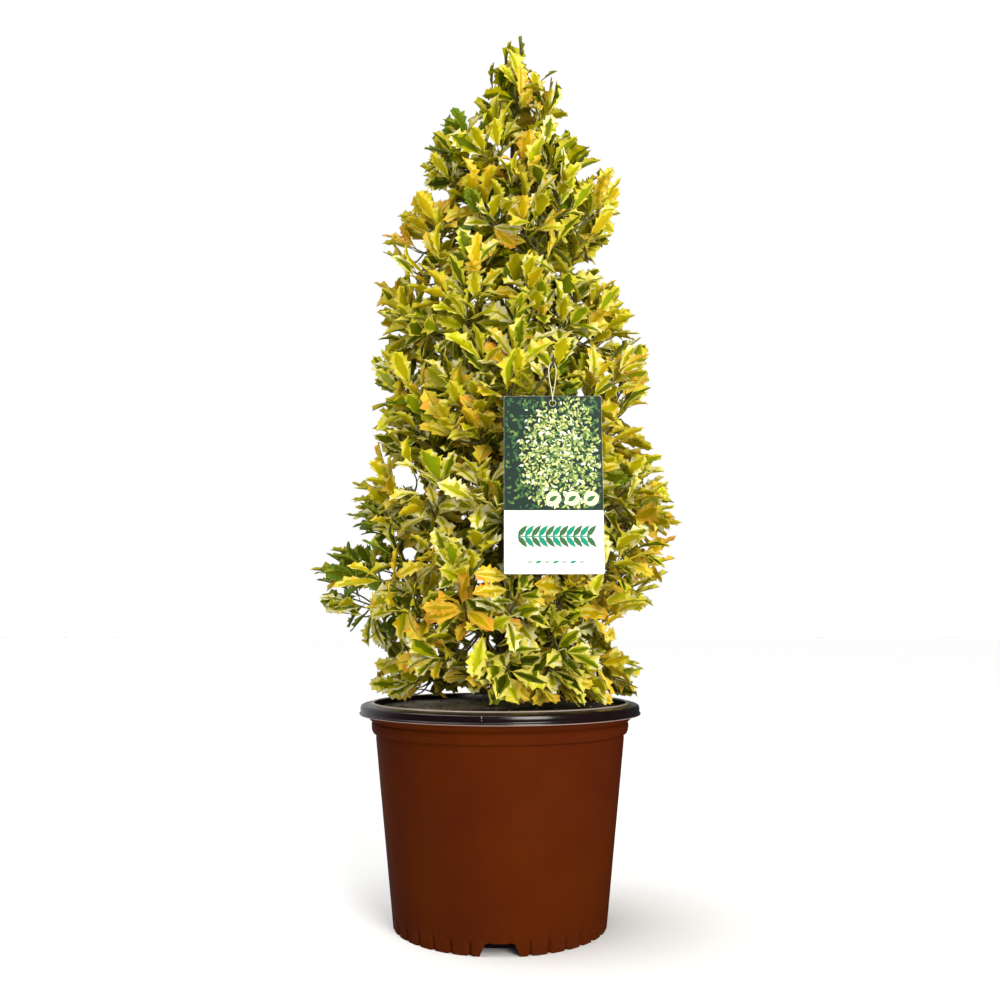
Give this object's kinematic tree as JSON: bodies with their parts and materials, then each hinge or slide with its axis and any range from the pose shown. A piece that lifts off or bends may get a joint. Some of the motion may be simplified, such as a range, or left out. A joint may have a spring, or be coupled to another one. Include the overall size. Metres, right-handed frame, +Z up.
{
  "type": "potted variegated holly",
  "caption": "Young variegated holly, cone-shaped and leafy to the rim, in a brown plastic nursery pot with a dark rolled lip and a card tag on a string loop.",
  "frame": {"origin": "centre of the pot's flat underside", "axes": "+Z up along the pot's axis, -Y towards the front, where the tag hangs"},
  "size_m": [0.3775, 0.3483, 0.9335],
  "materials": {
    "pot": "satin",
    "lip": "satin",
    "mix": "matte",
    "bark": "matte",
    "leaf": "satin",
    "tag_card": "satin",
    "loop": "matte"
  },
  "bodies": {
    "root": {"bough_low_1": "bark", "bough_low_2": "bark", "bough_low_3": "bark", "bough_low_4": "bark", "bough_low_5": "bark", "bough_middle_1": "bark", "bough_middle_2": "bark", "bough_middle_3": "bark", "bough_middle_4": "bark", "bough_middle_5": "bark", "bough_shoulder_1": "bark", "bough_shoulder_2": "bark", "bough_shoulder_3": "bark", "bough_skirt_1": "bark", "bough_skirt_2": "bark", "bough_skirt_3": "bark", "bough_skirt_4": "bark", "bough_skirt_5": "bark", "bough_upper_1": "bark", "bough_upper_2": "bark", "bough_upper_3": "bark", "bough_upper_4": "bark", "foliage_low_1": "leaf", "foliage_low_2": "leaf", "foliage_low_3": "leaf", "foliage_low_4": "leaf", "foliage_low_5": "leaf", "foliage_middle_1": "leaf", "foliage_middle_2": "leaf", "foliage_middle_3": "leaf", "foliage_middle_4": "leaf", "foliage_middle_5": "leaf", "foliage_neck_1": "leaf", "foliage_neck_2": "leaf", "foliage_shoulder_1": "leaf", "foliage_shoulder_2": "leaf", "foliage_shoulder_3": "leaf", "foliage_skirt_1": "leaf", "foliage_skirt_2": "leaf", "foliage_skirt_3": "leaf", "foliage_skirt_4": "leaf", "foliage_skirt_5": "leaf", "foliage_top": "leaf", "foliage_upper_1": "leaf", "foliage_upper_2": "leaf", "foliage_upper_3": "leaf", "foliage_upper_4": "leaf", "pot_body": "pot", "pot_lip": "lip", "potting_mix": "mix", "tag": "tag_card", "tag_loop": "loop", "trunk": "bark"}
  },
  "joints": []
}
